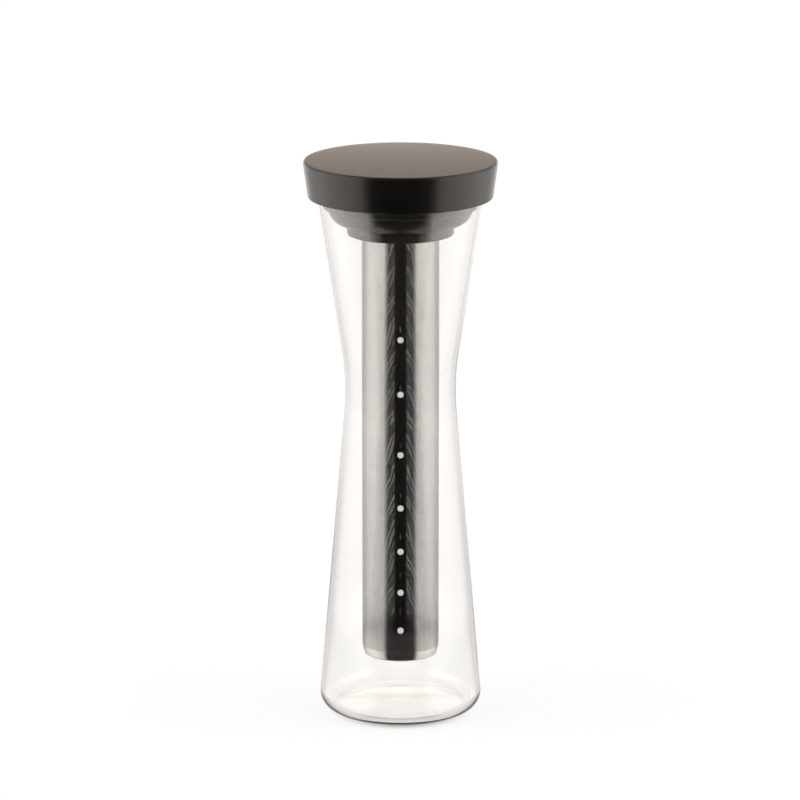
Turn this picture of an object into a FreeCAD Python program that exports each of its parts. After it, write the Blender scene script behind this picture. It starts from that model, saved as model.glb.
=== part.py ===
"""Cold brew coffee maker: a glass carafe, a lid with a stopper, and a steel filter tube that screws into the lid.

Frame: millimetres, +Z up, origin on the table at the centre of the carafe's foot, -Y is the front with the marks.
Every piece is turned about the Z axis, apart from the volume marks and the quick thread.
"""
import FreeCAD
import Part
import math
import os

from FreeCAD import Vector

# ---------------------------------------------------------------- driving dimensions

# Carafe: two straight cones that meet at the waist, measured on the outside of the glass.
CARAFE_HEIGHT = 307.0
BASE_RADIUS = 47.5  # lower cone, carried down to the table
WAIST_RADIUS = 30.75  # where the two cones would meet
WAIST_HEIGHT = 195.0
RIM_RADIUS = 47.85  # upper cone, at the rim
WAIST_ROUND = 150.0  # arc that softens the waist
HEEL_ROUND = 9.5  # arc between the lower cone and the foot
FLOOR_THICKNESS = 3.4
HEEL_WALL = 2.9
WAIST_WALL = 2.5
RIM_WALL = 1.65
RIM_ROUND_SHARE = 0.42  # each side of the rim is rounded by this share of its wall
INNER_HEEL_ROUND = 6.6
PUNT_RADIUS = 31.0  # shallow hollow under the floor
PUNT_FLAT_RADIUS = 8.0  # its level middle
PUNT_DEPTH = 0.3
PUNT_ROUND = 110.0

# Volume marks: enamel dots on the front of the glass, heights above the table.
MARK_HEIGHTS = (58.0, 80.0, 103.7, 128.7, 159.3, 194.2, 226.8)
MARK_RADIUS = 1.75
MARK_THICKNESS = 0.2
MARK_GAP = 0.06  # between the glass and the enamel's solid

# Lid cap: a hollow shell.
LID_HEIGHT = 21.5
LID_TAPER = 2.85  # how far the side leans in from top to bottom
SKIRT_GAP = 2.5  # from the outside of the rim to the inside of the skirt's lower edge
LID_TOP_WALL = 2.5
LID_SIDE_WALL = 2.4
LID_TOP_ROUND = 1.3
LID_EDGE_ROUND = 0.8
LID_OVERLAP = 4.6  # how far the cap reaches down past the rim
BEAD_HEIGHT = 1.2  # snap bead that keeps the stopper in the cap
BEAD_WIDTH = 0.7
WELD_RING_INSET = 0.8  # the ring under the cap's ceiling stands on the stopper, this far out of its wall
WELD_RING_WALL = 1.8

# Stopper.
FLANGE_THICKNESS = 2.2
MOUTH_GAP = 4.7  # from the inside of the rim to the stopper's wall
PLUG_WALL = 2.2
PLUG_DEPTH = 20.0  # from the rim down to the stopper's underside
PLUG_FLOOR = 2.2
BOWL_ROUND = 10.0  # outside of the bowl that joins the stopper's wall to its underside
SOCKET_WALL = 2.4
SOCKET_LAND = 0.5  # level floor that stays round the socket, however far the bowl's inside reaches in
ROOF_THICKNESS = 2.0

# Mouth seal: a soft sleeve on the stopper with lips, and a flange that lies on the rim.
SEAL_WALL = 1.4
SEAL_FLANGE = 1.3
SEAL_FLANGE_INSET = 0.9  # how far the flange ends inside the outside of the rim
SEAL_DEPTH = 9.8  # from the rim down to the lower lip
LIP_COUNT = 2
LIP_HEIGHT = 4.0
LIP_PITCH = 5.6
LIP_ROUND = 0.9

# Filter.
COLLAR_RADIUS = 30.65
COLLAR_HEIGHT = 5.4  # the flange that shows below the stopper
COLLAR_ROUND = 0.6
NECK_HEIGHT = 10.2  # the part of the collar inside the socket
NECK_WALL = 2.8
COLLAR_LEDGE = 1.6  # how far the collar's top reaches over the tube's end
LEDGE_THICKNESS = 1.5
TUBE_RADIUS = 22.2
TUBE_WALL = 0.6
FLOOR_CLEARANCE = 29.6  # from the carafe's floor up to the filter's underside
BASE_BAND = 5.7  # height of the closed cup at the bottom of the tube
BASE_TAPER = 1.25  # how far the cup's outside leans in from the tube down to its underside
BASE_ROUND = 1.0
BASE_INNER_TAPER = 0.6
BASE_INNER_ROUND = 2.0
SPIGOT_HEIGHT = 4.0
SPIGOT_WALL = 0.6
GASKET_THICKNESS = 1.5
GASKET_WIDTH = 4.0

# Quick thread between the collar and the stopper.
THREAD_STARTS = 3
THREAD_LEAD = 32.0
LUG_HEIGHT = 2.4
LUG_DEPTH = 2.2
LUG_ANGLE = 40.0

# Clearances.
RUNNING_GAP = 0.3  # between pieces that move against each other
SEAT_GAP = 0.2  # between a seat and what rests on it, across a joint
FIT_GAP = 0.05  # round pieces that are pushed into each other and stay there

# ---------------------------------------------------------------- derived levels and radii

RIM_LEVEL = CARAFE_HEIGHT
SEAL_FLANGE_LEVEL = RIM_LEVEL + SEAT_GAP
STOPPER_FLANGE_LEVEL = SEAL_FLANGE_LEVEL + SEAL_FLANGE
STOPPER_TOP_LEVEL = STOPPER_FLANGE_LEVEL + FLANGE_THICKNESS
LID_BOTTOM_LEVEL = RIM_LEVEL - LID_OVERLAP
LID_TOP_LEVEL = LID_BOTTOM_LEVEL + LID_HEIGHT
LID_CEILING_LEVEL = LID_TOP_LEVEL - LID_TOP_WALL
SEAL_BOTTOM_LEVEL = RIM_LEVEL - SEAL_DEPTH
STOPPER_BOTTOM_LEVEL = RIM_LEVEL - PLUG_DEPTH
COLLAR_TOP_LEVEL = STOPPER_BOTTOM_LEVEL - RUNNING_GAP
COLLAR_BOTTOM_LEVEL = COLLAR_TOP_LEVEL - COLLAR_HEIGHT
NECK_TOP_LEVEL = COLLAR_TOP_LEVEL + NECK_HEIGHT
TUBE_TOP_LEVEL = NECK_TOP_LEVEL - LEDGE_THICKNESS
GASKET_LEVEL = NECK_TOP_LEVEL + SEAT_GAP
SOCKET_ROOF_LEVEL = GASKET_LEVEL + GASKET_THICKNESS + SEAT_GAP
FILTER_FLOOR_LEVEL = FLOOR_THICKNESS + FLOOR_CLEARANCE
TUBE_BOTTOM_LEVEL = FILTER_FLOOR_LEVEL + BASE_BAND

LID_TOP_RADIUS = RIM_RADIUS + SKIRT_GAP + LID_SIDE_WALL + LID_TAPER
PLUG_RADIUS = RIM_RADIUS - RIM_WALL - MOUTH_GAP
WELD_RING_RADIUS = PLUG_RADIUS + WELD_RING_INSET
NECK_INNER_RADIUS = TUBE_RADIUS + FIT_GAP
NECK_RADIUS = NECK_INNER_RADIUS + NECK_WALL
SOCKET_RADIUS = NECK_RADIUS + RUNNING_GAP
LUG_RADIUS = NECK_RADIUS + LUG_DEPTH
GROOVE_RADIUS = LUG_RADIUS + RUNNING_GAP
SOCKET_OUTER_RADIUS = GROOVE_RADIUS + SOCKET_WALL

CLEAR = 1.0  # how far a cutting tool reaches past the face that it cuts


# ---------------------------------------------------------------- geometry helpers

def mix(start, end, share):
    """Value that lies the given share of the way from start to end."""
    return start + (end - start) * share


def corner_arc(before, corner, after, radius):
    """Arc that rounds a corner of an outline: its first, middle and last points as (r, z)."""
    back = (before[0] - corner[0], before[1] - corner[1])
    ahead = (after[0] - corner[0], after[1] - corner[1])
    back_length = math.hypot(*back)
    ahead_length = math.hypot(*ahead)
    back = (back[0] / back_length, back[1] / back_length)
    ahead = (ahead[0] / ahead_length, ahead[1] / ahead_length)
    half = math.acos(back[0] * ahead[0] + back[1] * ahead[1]) / 2
    reach = radius / math.tan(half)
    middle = (back[0] + ahead[0], back[1] + ahead[1])
    middle_length = math.hypot(*middle)
    depth = (radius / math.sin(half) - radius) / middle_length
    return (
        (corner[0] + back[0] * reach, corner[1] + back[1] * reach),
        (corner[0] + middle[0] * depth, corner[1] + middle[1] * depth),
        (corner[0] + ahead[0] * reach, corner[1] + ahead[1] * reach),
    )


def point(place):
    """Point of the half-section in space."""
    return Vector(place[0], 0, place[1])


def outline(corners):
    """Closed wire in the half-section from corners (r, z) or (r, z, rounding radius)."""
    edges = []
    runs = []
    count = len(corners)
    for index, corner in enumerate(corners):
        if len(corner) == 3:
            before = corners[index - 1]
            after = corners[(index + 1) % count]
            first, middle, last = corner_arc(before, corner, after, corner[2])
            arc = Part.Arc(point(first), point(middle), point(last)).toShape()
            runs.append((first, arc, last))
        else:
            runs.append((corner, None, corner))
    for index, (first, arc, last) in enumerate(runs):
        if arc is not None:
            edges.append(arc)
        following = runs[(index + 1) % count][0]
        edges.append(Part.LineSegment(point(last), point(following)).toShape())
    return Part.Wire(edges)


def turned(corners):
    """Solid of revolution about Z of a closed outline."""
    face = Part.Face(outline(corners))
    solid = face.revolve(Vector(0, 0, 0), Vector(0, 0, 1), 360)
    if solid.Volume < 0:
        solid.reverse()
    return solid


def helical_bar(inner, outer, height, start_angle, end_angle, centre_level):
    """Bar of rectangular section that follows the thread.

    At angle 0 its middle is at centre_level, and it climbs one lead a turn, counterclockwise seen from above.
    """
    sweep = end_angle - start_angle
    climb = THREAD_LEAD * sweep / 360
    start_level = centre_level + THREAD_LEAD * start_angle / 360
    middle = (inner + outer) / 2
    path = Part.makeHelix(THREAD_LEAD, climb, middle)
    low = -height / 2
    high = height / 2
    section = Part.makePolygon([
        Vector(inner, 0, low),
        Vector(outer, 0, low),
        Vector(outer, 0, high),
        Vector(inner, 0, high),
        Vector(inner, 0, low),
    ])
    bar = Part.Wire(path.Edges).makePipeShell([section], True, True)
    bar.translate(Vector(0, 0, start_level))
    bar.rotate(Vector(0, 0, 0), Vector(0, 0, 1), start_angle)
    return bar


def thread_angles():
    """Angles at which the thread's starts lie round the axis."""
    return [360 * index / THREAD_STARTS for index in range(THREAD_STARTS)]


# ---------------------------------------------------------------- carafe

def glass_radius(level):
    """Radius of the outside of the carafe's cones at a level, without the waist's rounding."""
    if level < WAIST_HEIGHT:
        return mix(BASE_RADIUS, WAIST_RADIUS, level / WAIST_HEIGHT)
    return mix(WAIST_RADIUS, RIM_RADIUS, (level - WAIST_HEIGHT) / (CARAFE_HEIGHT - WAIST_HEIGHT))


def mouth_radius(level):
    """Radius of the inside of the carafe's mouth at a level above the waist."""
    share = (level - WAIST_HEIGHT) / (CARAFE_HEIGHT - WAIST_HEIGHT)
    return glass_radius(level) - mix(WAIST_WALL, RIM_WALL, share)


def outer_corners(skin=0.0):
    """Outside of the carafe from the foot to the rim, pushed out by a skin."""
    return [
        (BASE_RADIUS + skin, 0, HEEL_ROUND),
        (WAIST_RADIUS + skin, WAIST_HEIGHT, WAIST_ROUND),
    ]


def glass_carafe():
    """Blown carafe with a shallow hollow under its floor and a fire-polished rim."""
    lip = RIM_WALL * RIM_ROUND_SHARE
    wall_at_floor = glass_radius(FLOOR_THICKNESS) - HEEL_WALL
    return turned(
        [
            (0, PUNT_DEPTH),
            (PUNT_FLAT_RADIUS, PUNT_DEPTH, PUNT_ROUND),
            (PUNT_RADIUS, 0, PUNT_ROUND),
        ]
        + outer_corners()
        + [
            (RIM_RADIUS, CARAFE_HEIGHT, lip),
            (RIM_RADIUS - RIM_WALL, CARAFE_HEIGHT, lip),
            (WAIST_RADIUS - WAIST_WALL, WAIST_HEIGHT, WAIST_ROUND),
            (wall_at_floor, FLOOR_THICKNESS, INNER_HEEL_ROUND),
            (0, FLOOR_THICKNESS),
        ]
    )


def filled_carafe(skin):
    """Solid of the carafe's outside, pushed out by a skin."""
    return turned([(0, 0)] + outer_corners(skin) + [(RIM_RADIUS + skin, CARAFE_HEIGHT), (0, CARAFE_HEIGHT)])


def volume_marks():
    """One thin enamel dot at each height, bent round the front of the glass."""
    skin = filled_carafe(MARK_GAP + MARK_THICKNESS).cut(filled_carafe(MARK_GAP))
    reach = max(BASE_RADIUS, RIM_RADIUS) + CLEAR
    marks = []
    for height in MARK_HEIGHTS:
        stamp = Part.makeCylinder(MARK_RADIUS, reach, Vector(0, 0, height), Vector(0, -1, 0))
        marks.append(skin.common(stamp))
    return marks


# ---------------------------------------------------------------- lid

def lid_side_radius(level):
    """Radius of the outside of the cap at a level."""
    return LID_TOP_RADIUS - LID_TAPER * (LID_TOP_LEVEL - level) / LID_HEIGHT


def cap_bore_radius(level):
    """Radius of the inside of the cap's skirt at a level."""
    return lid_side_radius(level) - LID_SIDE_WALL


def lid_cap():
    """Hollow cap: a tapering skirt, a snap bead under the stopper's flange and a ring that stands on it."""
    bead_top = STOPPER_FLANGE_LEVEL
    bead_middle = bead_top - BEAD_HEIGHT / 2
    bead_bottom = bead_top - BEAD_HEIGHT
    return turned([
        (0, LID_CEILING_LEVEL),
        (WELD_RING_RADIUS, LID_CEILING_LEVEL),
        (WELD_RING_RADIUS, STOPPER_TOP_LEVEL),
        (WELD_RING_RADIUS + WELD_RING_WALL, STOPPER_TOP_LEVEL),
        (WELD_RING_RADIUS + WELD_RING_WALL, LID_CEILING_LEVEL),
        (cap_bore_radius(LID_CEILING_LEVEL), LID_CEILING_LEVEL),
        (cap_bore_radius(bead_top), bead_top),
        (cap_bore_radius(bead_middle) - BEAD_WIDTH, bead_middle),
        (cap_bore_radius(bead_bottom), bead_bottom),
        (cap_bore_radius(LID_BOTTOM_LEVEL), LID_BOTTOM_LEVEL),
        (lid_side_radius(LID_BOTTOM_LEVEL), LID_BOTTOM_LEVEL, LID_EDGE_ROUND),
        (LID_TOP_RADIUS, LID_TOP_LEVEL, LID_TOP_ROUND),
        (0, LID_TOP_LEVEL),
    ])


def lid_plug():
    """Stopper: a flange held in the cap, a bowl that hangs in the mouth, and the socket of the quick thread."""
    floor_level = STOPPER_BOTTOM_LEVEL + PLUG_FLOOR
    roof_top = SOCKET_ROOF_LEVEL + ROOF_THICKNESS
    cup_radius = PLUG_RADIUS - PLUG_WALL
    floor_width = cup_radius - SOCKET_OUTER_RADIUS
    inner_round = min(BOWL_ROUND - PLUG_WALL, floor_width - SOCKET_LAND)
    body = turned([
        (0, SOCKET_ROOF_LEVEL),
        (SOCKET_RADIUS, SOCKET_ROOF_LEVEL),
        (SOCKET_RADIUS, STOPPER_BOTTOM_LEVEL),
        (PLUG_RADIUS, STOPPER_BOTTOM_LEVEL, BOWL_ROUND),
        (PLUG_RADIUS, STOPPER_FLANGE_LEVEL),
        (cap_bore_radius(STOPPER_FLANGE_LEVEL) - FIT_GAP, STOPPER_FLANGE_LEVEL),
        (cap_bore_radius(STOPPER_TOP_LEVEL) - FIT_GAP, STOPPER_TOP_LEVEL),
        (cup_radius, STOPPER_TOP_LEVEL),
        (cup_radius, floor_level, inner_round),
        (SOCKET_OUTER_RADIUS, floor_level),
        (SOCKET_OUTER_RADIUS, roof_top),
        (0, roof_top),
    ])
    return body.cut(Part.makeCompound(thread_grooves()))


def thread_grooves():
    """Cutters for the helical grooves in the socket, from the lugs' seats down to the socket's mouth."""
    top_angle = LUG_ANGLE / 2 + math.degrees(RUNNING_GAP / LUG_RADIUS)
    lug_level = lug_centre_level()
    exit_drop = lug_level - STOPPER_BOTTOM_LEVEL + LUG_HEIGHT + CLEAR
    bottom_angle = -360 * exit_drop / THREAD_LEAD
    width = LUG_HEIGHT + 2 * RUNNING_GAP
    cutter = helical_bar(SOCKET_RADIUS - CLEAR, GROOVE_RADIUS, width, bottom_angle, top_angle, lug_level)
    return [spun(cutter, angle) for angle in thread_angles()]


def lug_centre_level():
    """Level of the middle of each lug: the lug's top end lies just below the neck's top."""
    rise = THREAD_LEAD * LUG_ANGLE / 720
    return NECK_TOP_LEVEL - LUG_HEIGHT / 2 - rise - RUNNING_GAP


def spun(shape, angle):
    """Copy of a shape turned about Z."""
    copy = shape.copy()
    copy.rotate(Vector(0, 0, 0), Vector(0, 0, 1), angle)
    return copy


def mouth_seal():
    """Soft sleeve round the stopper with lips against the glass and a flange on the rim."""
    inner = PLUG_RADIUS + FIT_GAP
    sleeve = inner + SEAL_WALL
    bottom = SEAL_BOTTOM_LEVEL
    top = STOPPER_FLANGE_LEVEL
    ring = turned([
        (inner, bottom),
        (sleeve, bottom),
        (sleeve, SEAL_FLANGE_LEVEL),
        (RIM_RADIUS - SEAL_FLANGE_INSET, SEAL_FLANGE_LEVEL),
        (RIM_RADIUS - SEAL_FLANGE_INSET, top),
        (inner, top),
    ])
    lips = []
    for index in range(LIP_COUNT):
        low = bottom + LIP_PITCH * index
        reach = mouth_radius(low) - RUNNING_GAP
        lips.append(turned([
            (inner + SEAL_WALL / 2, low),
            (reach, low, LIP_ROUND),
            (reach, low + LIP_HEIGHT, LIP_ROUND),
            (inner + SEAL_WALL / 2, low + LIP_HEIGHT),
        ]))
    return ring.fuse(lips).removeSplitter()


# ---------------------------------------------------------------- filter

def filter_collar():
    """Collar with a flange below the stopper, a neck inside the socket and the lugs of the quick thread."""
    body = turned([
        (NECK_INNER_RADIUS, COLLAR_BOTTOM_LEVEL),
        (COLLAR_RADIUS, COLLAR_BOTTOM_LEVEL, COLLAR_ROUND),
        (COLLAR_RADIUS, COLLAR_TOP_LEVEL),
        (NECK_RADIUS, COLLAR_TOP_LEVEL),
        (NECK_RADIUS, NECK_TOP_LEVEL),
        (NECK_INNER_RADIUS - COLLAR_LEDGE, NECK_TOP_LEVEL),
        (NECK_INNER_RADIUS - COLLAR_LEDGE, TUBE_TOP_LEVEL),
        (NECK_INNER_RADIUS, TUBE_TOP_LEVEL),
    ])
    root = NECK_RADIUS - NECK_WALL / 2
    lug = helical_bar(root, LUG_RADIUS, LUG_HEIGHT, -LUG_ANGLE / 2, LUG_ANGLE / 2, lug_centre_level())
    return body.fuse([spun(lug, angle) for angle in thread_angles()])


def filter_tube():
    """Rolled and welded tube of perforated sheet, open at both ends."""
    inner = TUBE_RADIUS - TUBE_WALL
    return turned([
        (inner, TUBE_BOTTOM_LEVEL),
        (TUBE_RADIUS, TUBE_BOTTOM_LEVEL),
        (TUBE_RADIUS, TUBE_TOP_LEVEL),
        (inner, TUBE_TOP_LEVEL),
    ])


def filter_base():
    """Drawn cup that closes the tube: it leans in to a rounded edge, and a spigot goes up inside the tube."""
    spigot = TUBE_RADIUS - TUBE_WALL - FIT_GAP
    inner = spigot - SPIGOT_WALL
    floor = FILTER_FLOOR_LEVEL + TUBE_WALL
    return turned([
        (0, FILTER_FLOOR_LEVEL),
        (TUBE_RADIUS - BASE_TAPER, FILTER_FLOOR_LEVEL, BASE_ROUND),
        (TUBE_RADIUS, TUBE_BOTTOM_LEVEL),
        (spigot, TUBE_BOTTOM_LEVEL),
        (spigot, TUBE_BOTTOM_LEVEL + SPIGOT_HEIGHT),
        (inner, TUBE_BOTTOM_LEVEL + SPIGOT_HEIGHT),
        (inner, TUBE_BOTTOM_LEVEL),
        (inner - BASE_INNER_TAPER, floor, BASE_INNER_ROUND),
        (0, floor),
    ])


def filter_gasket():
    """Flat soft ring on the collar's top that closes the filter against the roof of the socket."""
    outer = NECK_RADIUS - RUNNING_GAP
    return turned([
        (outer - GASKET_WIDTH, GASKET_LEVEL),
        (outer, GASKET_LEVEL),
        (outer, GASKET_LEVEL + GASKET_THICKNESS),
        (outer - GASKET_WIDTH, GASKET_LEVEL + GASKET_THICKNESS),
    ])


# ---------------------------------------------------------------- output

def pieces():
    """Every piece by its name."""
    made = {
        "glass_carafe": glass_carafe(),
        "lid_cap": lid_cap(),
        "lid_plug": lid_plug(),
        "mouth_seal": mouth_seal(),
        "filter_gasket": filter_gasket(),
        "filter_collar": filter_collar(),
        "filter_tube": filter_tube(),
        "filter_base": filter_base(),
    }
    for number, mark in enumerate(volume_marks(), start=1):
        made["volume_mark_%d" % number] = mark
    return made


def main():
    os.makedirs("parts", exist_ok=True)
    for name, shape in pieces().items():
        shape.exportStep("parts/%s.step" % name)
        print(name, "valid", shape.isValid(), "solids", len(shape.Solids), "volume", round(shape.Volume, 1))


main()
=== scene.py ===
import math

import bpy
import numpy as np
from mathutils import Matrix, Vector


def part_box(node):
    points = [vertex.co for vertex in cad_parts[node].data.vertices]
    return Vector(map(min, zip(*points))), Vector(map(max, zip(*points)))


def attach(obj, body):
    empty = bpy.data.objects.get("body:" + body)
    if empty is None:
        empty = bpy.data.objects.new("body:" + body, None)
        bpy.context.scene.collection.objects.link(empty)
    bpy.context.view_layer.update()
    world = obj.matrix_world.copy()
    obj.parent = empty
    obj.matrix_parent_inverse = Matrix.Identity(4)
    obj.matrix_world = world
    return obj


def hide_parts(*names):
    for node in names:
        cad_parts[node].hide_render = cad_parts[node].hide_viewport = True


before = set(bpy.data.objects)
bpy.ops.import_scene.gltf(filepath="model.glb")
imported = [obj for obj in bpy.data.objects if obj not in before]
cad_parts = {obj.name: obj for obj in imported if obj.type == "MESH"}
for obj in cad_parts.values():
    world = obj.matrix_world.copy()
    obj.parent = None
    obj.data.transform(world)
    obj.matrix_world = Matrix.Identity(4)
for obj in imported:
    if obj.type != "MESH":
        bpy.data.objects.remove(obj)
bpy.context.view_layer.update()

# Looks of the cold brew coffee maker.
#
# Metres, +Z up, the carafe's foot on the floor at the origin, and its printed dots on the -Y side.
# Nearly every piece is turned about the Z axis: a profile in the half-plane (r, z) carried round a circle.

MM = 0.001


def top_of(node):
    """Highest level of a node of the frame."""
    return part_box(node)[1].z


def foot_of(node):
    """Lowest level of a node of the frame."""
    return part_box(node)[0].z


def reach_of(node):
    """Greatest radius of a node of the frame."""
    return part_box(node)[1].x


# ---------------------------------------------------------------- sizes of the carafe

RIM_LEVEL = top_of("glass_carafe")
RIM_RADIUS = reach_of("glass_carafe")
BASE_RADIUS = 47.5 * MM  # lower cone, carried down to the floor
WAIST_RADIUS = 30.75 * MM
WAIST_LEVEL = 195 * MM
WAIST_ROUND = 150 * MM
HEEL_ROUND = 9.5 * MM
HEEL_WALL = 2.9 * MM
WAIST_WALL = 2.5 * MM
RIM_WALL = 1.65 * MM
RIM_ROUND = 0.42 * RIM_WALL
FLOOR_THICKNESS = 3.4 * MM
INNER_HEEL_ROUND = 6.6 * MM
PUNT_RADIUS = 31 * MM  # shallow hollow under the floor
PUNT_FLAT_RADIUS = 8 * MM
PUNT_DEPTH = 0.3 * MM
PUNT_ROUND = 110 * MM
GLASS_WAVE = 0.035 * MM  # unevenness of the blown wall, on its inside
# Its waves: how many to a turn, radians to a metre of height, start in radians, share of GLASS_WAVE.
WAVES = ((2, 31, 0, 1), (3, -47, 1.3, 0.6))
WAVE_START = 2 * FLOOR_THICKNESS  # level at which it begins
WAVE_FADE = 20 * MM  # height in which it grows to its full measure
WAVE_FADE_RIM = 10 * MM  # and in which it dies away below the rim
GLASS_SKIN = 0.8 * MM  # depth past which a point of the wall is on its inside

# ---------------------------------------------------------------- sizes of the dots

DOT_COUNT = 7
DOT_RADIUS = 1.75 * MM
DOT_BACK = 0.02 * MM  # from the glass to the back of the enamel
DOT_HEIGHT = 0.16 * MM

# ---------------------------------------------------------------- sizes of the lid

LID_TOP = top_of("lid_cap")
LID_FOOT = foot_of("lid_cap")
LID_RADIUS = reach_of("lid_cap")
LID_TAPER = 2.85 * MM
LID_TOP_WALL = 2.5 * MM
LID_SIDE_WALL = 2.4 * MM
LID_TOP_ROUND = 1.4 * MM
LID_EDGE_ROUND = 0.8 * MM
LID_CROWN = 0.4 * MM  # how much higher the top's middle is than its edge
LID_WIDEST = 0.9 * LID_TOP_ROUND  # distance from the top down to where the rounded lid is widest
LID_CORNER_RADIUS = LID_RADIUS + LID_WIDEST * LID_TAPER / (LID_TOP - LID_FOOT)  # at the top, before rounding
INNER_EDGE_ROUND = 0.3 * MM
CEILING_ROUND = 3 * INNER_EDGE_ROUND
STOPPER_TOP = top_of("lid_plug")
STOPPER_FLANGE = 2.2 * MM
BEAD_HEIGHT = 1.2 * MM
BEAD_WIDTH = 0.7 * MM
WELD_RING_RADIUS = 42.3 * MM
WELD_RING_WALL = 1.8 * MM

# ---------------------------------------------------------------- sizes of the seal

SEAL_TOP = top_of("mouth_seal")
SEAL_FOOT = foot_of("mouth_seal")
SEAL_RADIUS = reach_of("mouth_seal")
SEAL_INNER = 41.55 * MM
SEAL_WALL = 1.4 * MM
SEAL_ROUND = 0.35 * MM
LIP_HEIGHT = 4.0 * MM
LIP_PITCH = 5.6 * MM
LIP_ROUND = 0.9 * MM
LIP_GAP = 0.3 * MM
SEAT_GAP = 0.2 * MM

# ---------------------------------------------------------------- sizes of the filter

TUBE_TOP = top_of("filter_tube")
TUBE_FOOT = foot_of("filter_tube")
TUBE_RADIUS = reach_of("filter_tube")
TUBE_WALL = 0.6 * MM
TUBE_END_ROUND = 0.1 * MM
SEAM_WIDTH = 1.1 * MM  # ground weld down the front of the tube
SEAM_HEIGHT = 0.03 * MM
PLAIN_STRIP = 6.6 * MM  # unperforated strip at the weld
HOLES_FOOT = 43.6 * MM  # the perforated field
HOLES_FADE = 7 * MM
HOLES_TOP = 281 * MM
CUP_FOOT = foot_of("filter_base")
CUP_TAPER = 1.25 * MM  # how far the cup leans in at its foot
CUP_LEAN = 0.35 * MM  # and at its bend, which lies above the foot by the next measure
CUP_BEND = 3.0 * MM
CUP_BEND_ROUND = 12 * MM
CUP_ROUND = 0.9 * MM
CUP_INNER_TAPER = 0.6 * MM
CUP_INNER_ROUND = 2.0 * MM
SPIGOT_HEIGHT = 4 * MM
SPIGOT_WALL = 0.6 * MM
FIT_GAP = 0.05 * MM
JOIN_GROOVE = 0.2 * MM  # V between tube and cup

# ---------------------------------------------------------------- fineness of the meshes

ROUND_STEPS = 288  # facets round a turned piece
DOT_RINGS = 12
DOT_STEPS = 48
ARC_STEP = math.radians(7.5)  # greatest turn between the points of a rounding
RUN_STEP = 3 * MM  # greatest distance between the points of an outline
CREASE = math.radians(35)  # edges above this angle stay sharp
ON_AXIS = 1e-6 * MM  # radius below which a point is on the axis
ON_TOP = 0.01 * MM  # distance within which a point belongs to the lid's top

# ---------------------------------------------------------------- tones and patterns

NOISE_RANGE = (0.3, 0.7)  # values between which most of a noise lies
LID_BLACK = (0.006, 0.0052, 0.0042)
STOPPER_BLACK = (0.034, 0.029, 0.023)
PLASTIC_GLOSS_TINT = (1.0, 0.94, 0.88, 1)
FLOW_DARK = 0.82  # shares of the plastic's colour in its darkest and palest flow marks
FLOW_PALE = 1.2
RUBBED = 0.012  # how much less or more rough a rubbed patch is
GLASS_ABOVE = (0.893, 0.889, 0.882, 1)  # glass from the next level up
GLASS_CLEAR_LEVEL = 200 * MM
GLASS_BELOW = (0.935, 0.93, 0.922, 1)  # towards the foot
GLASS_FOOT = (0.98, 0.974, 0.965, 1)  # and at the foot, between the next two levels
GLASS_FOOT_TOP = 48 * MM
GLASS_FOOT_END = 4 * MM
HAZE_RANGE = (0.55, 0.8)  # values of a noise between which haze comes in
HAZE_ROUGHNESS = 0.006
ENAMEL_DARK = (0.74, 0.77, 0.77, 1)
ENAMEL_PALE = (0.86, 0.88, 0.88, 1)
ENAMEL_ROUGHNESS = (0.3, 0.45)
SILICONE_DARK = (0.018, 0.017, 0.016, 1)
SILICONE_PALE = (0.026, 0.025, 0.023, 1)
SILICONE_ROUGHNESS = (0.22, 0.34)
STEEL_DARK = (0.41, 0.4, 0.388, 1)
STEEL_PALE = (0.44, 0.43, 0.418, 1)
STEEL_EDGE_TINT = (0.75, 0.75, 0.75, 1)  # where it is seen at a glancing angle
STEEL_ROUGHNESS = (0.05, 0.13)
STREAK_PITCH = 17 * MM  # height of one arc of the painted see-through pattern, the moiré of the fine holes
STREAK_TURNS = 14.2  # arcs crossed per unit of 1 - cos(angle), with one centre
STREAK_CENTRES = 4  # the arcs gather at this many places round the tube
STREAK_LINES = 3  # finer lines to an arc
STREAK_BROAD = 0.7  # strength of an arc's own wave beside that of its finer lines
STREAK_RANGE = (-0.5, 1.5)  # values of both waves together, from dark to bright
STREAK_WANDER = 0.9  # how far the arcs stray, in pitches
FLECK_RANGE = (0.35, 0.6)  # values of a noise that breaks the arcs into flecks
FLECK_LEAST = 0.5  # share of an arc's light that is left in the dark ones
HOLES_SHUT = 0.12  # share of the light that passes the front of the tube between the arcs
HOLES_OPEN = 0.5  # and so much more along them, as painted light of the arcs
HOLES_BEHIND = 0.3  # share that passes the rest of the wall, where the pattern is even
HOLES_FRONT = (0.76, 0.9)  # cosine of the angle between which the painted arcs come in, on the front
HOLES_EDGE = 0.25 * MM  # half of the width in which the holes begin beside the weld
HOLES_TOP_EDGE = 0.3 * MM  # and at the top

# ---------------------------------------------------------------- view and light

CAMERA_TARGET = (-0.3 * MM, 0, 183.3 * MM)
CAMERA_DISTANCE = 2525.8 * MM
CAMERA_ELEVATION = math.radians(13.9)
LENS = 198  # mm on a 36 mm sensor
SENSOR = 36

PANEL_LEVEL = 2.2  # strength of the panels' light
PANEL_TINT = (1.0, 0.975, 0.95)
# Panels round the object: angle from the front in degrees, share of PANEL_LEVEL.
PANELS = (
    (0, 0.008), (36, 0.012), (43, 0.28), (49, 0.76), (62, 0.94), (80, 1.02), (95, 0.98), (112, 0.84),
    (130, 0.5), (146, 0.42), (160, 0.46), (180, 0.46),
)
GAP_LEVEL = 0.12  # least share above the floor, in the gap at the front
PANEL_TOP = math.radians(42)  # height at which the panels begin to fade
PANEL_END = math.radians(62)
OVERHEAD = 0.3  # share that is left above them
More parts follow.
